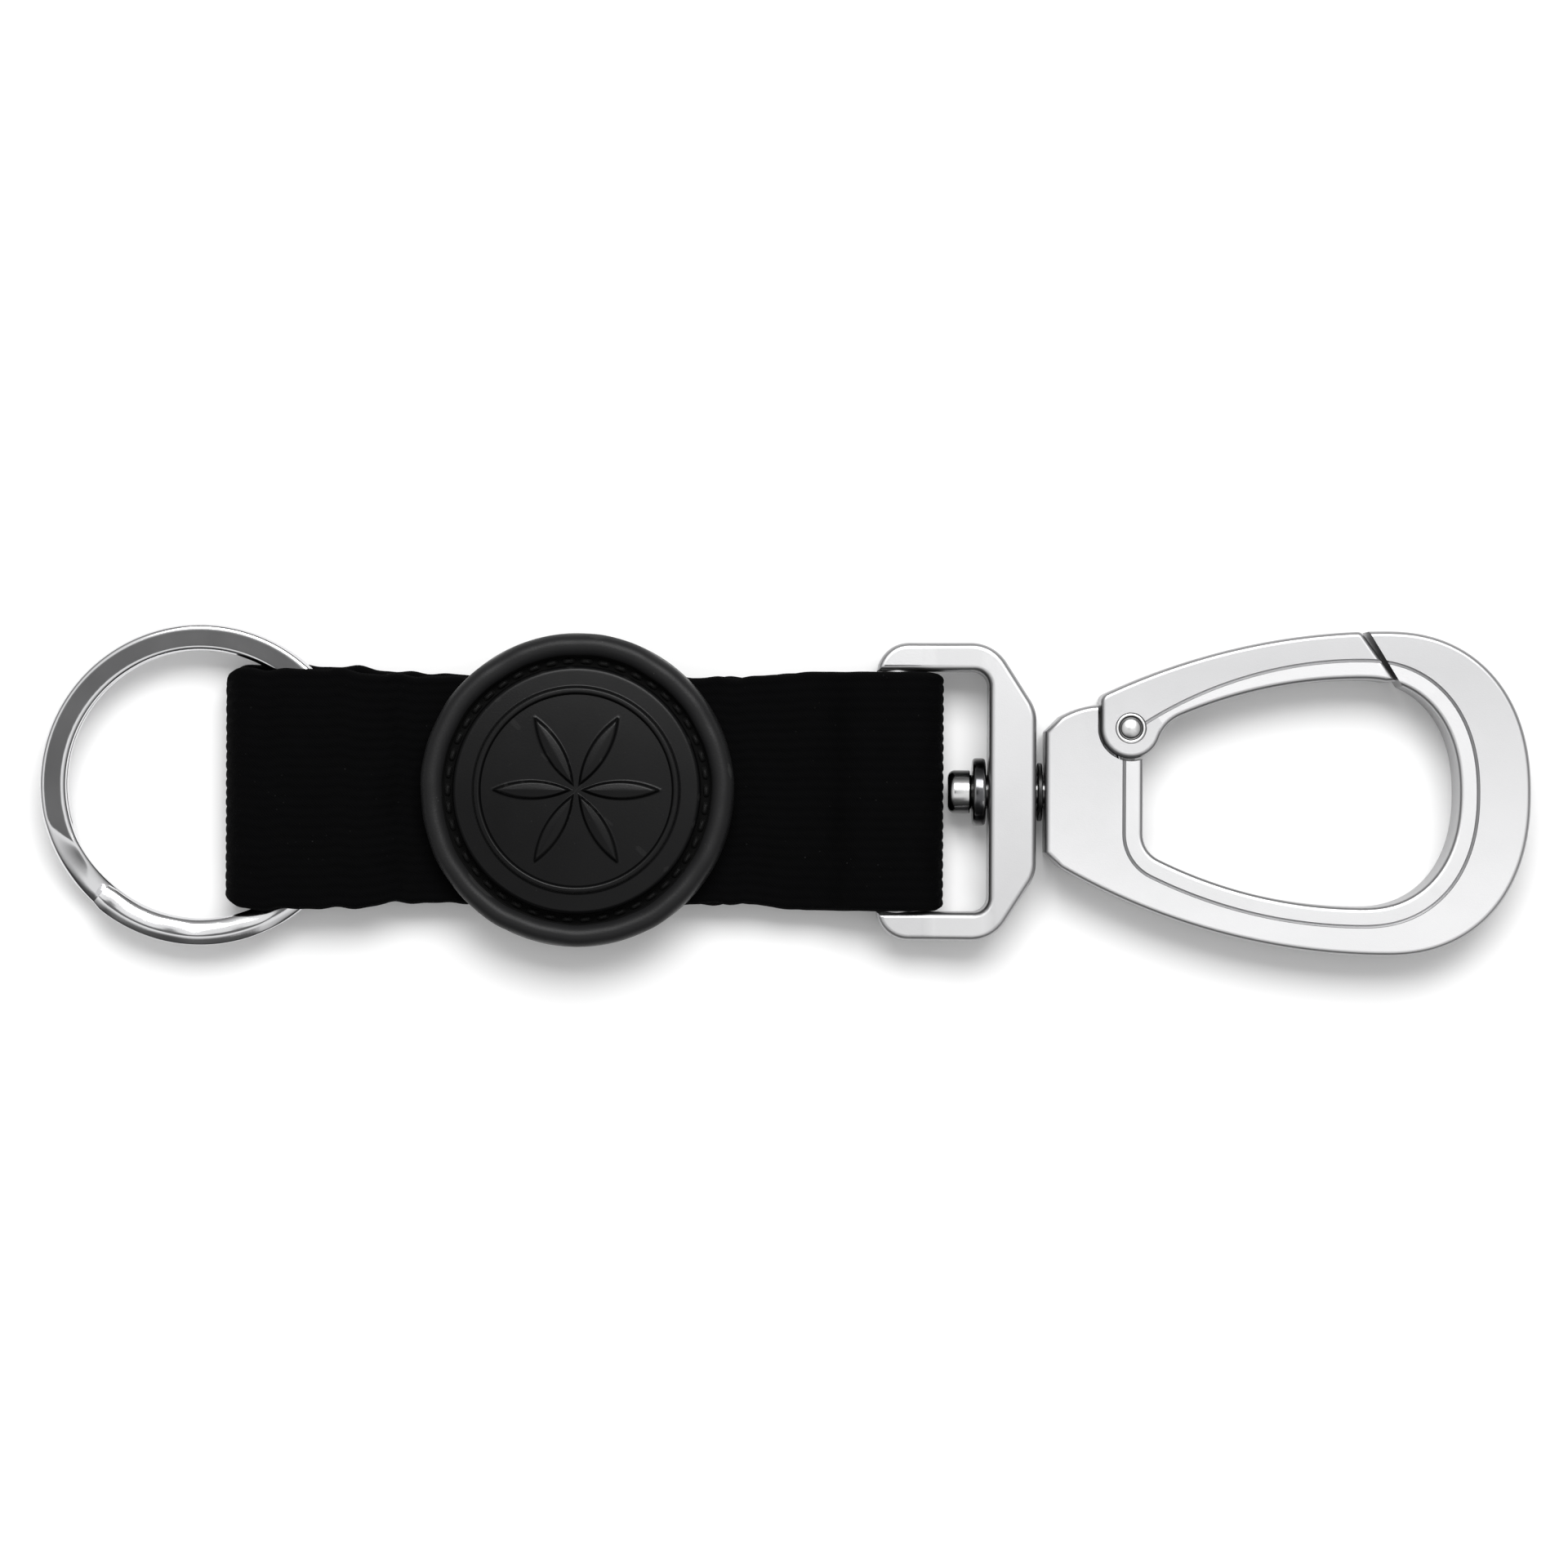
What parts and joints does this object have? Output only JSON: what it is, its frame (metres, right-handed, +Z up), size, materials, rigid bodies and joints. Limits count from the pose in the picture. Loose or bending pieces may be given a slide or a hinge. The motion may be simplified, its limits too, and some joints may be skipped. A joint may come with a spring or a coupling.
{
  "type": "key cord",
  "caption": "Short black webbing key cord with a round rubber badge, a split ring in one loop and a swivel snap hook with a sprung gate in the other.",
  "frame": {"origin": "under the middle of the whole length, on the surface that the cord lies on", "axes": "+X from the split ring to the hook, +Y towards the hook's gate side, +Z up through the badge's face"},
  "size_m": [0.1578, 0.0345, 0.01],
  "materials": {
    "webbing": "matt woven nylon",
    "badge_rubber": "satin moulded rubber",
    "badge_face": "fine-grained moulded rubber",
    "ring_steel": "bright nickel-plated spring steel",
    "pin_steel": "polished steel",
    "cast_metal": "satin bead-blasted casting"
  },
  "bodies": {
    "strap": {"webbing_strap": "webbing", "badge_carrier": "badge_rubber", "badge_disc": "badge_face"},
    "ring": {"split_ring": "ring_steel"},
    "eye": {"swivel_frame": "cast_metal"},
    "hook": {"swivel_post": "pin_steel", "head_washer": "pin_steel", "thrust_washer": "pin_steel", "hook_body": "cast_metal", "gate_rivet": "pin_steel", "gate_spring": "pin_steel"},
    "gate": {"hook_gate": "cast_metal"}
  },
  "joints": [
    {"name": "ring_spin", "type": "hinge", "parent": "strap", "child": "ring", "pos_m": [-0.06188, 0.0004, 0.0038], "axis": [0, 0, 1], "continuous": true},
    {"name": "frame_swing", "type": "hinge", "parent": "strap", "child": "eye", "pos_m": [0.01191, 0, 0.0038], "axis": [0, 1, 0], "range_deg": [-115, 115]},
    {"name": "hook_swivel", "type": "hinge", "parent": "eye", "child": "hook", "pos_m": [0.02761, 0, 0.0038], "axis": [1, 0, 0], "continuous": true},
    {"name": "gate_hinge", "type": "hinge", "parent": "hook", "child": "gate", "pos_m": [0.03661, 0.0068, 0.0038], "axis": [0, 0, 1], "range_deg": [-31, 0], "stiffness_Nm_per_rad": 0.05, "springref_deg": 40.11, "deforming": ["gate_spring"]}
  ]
}
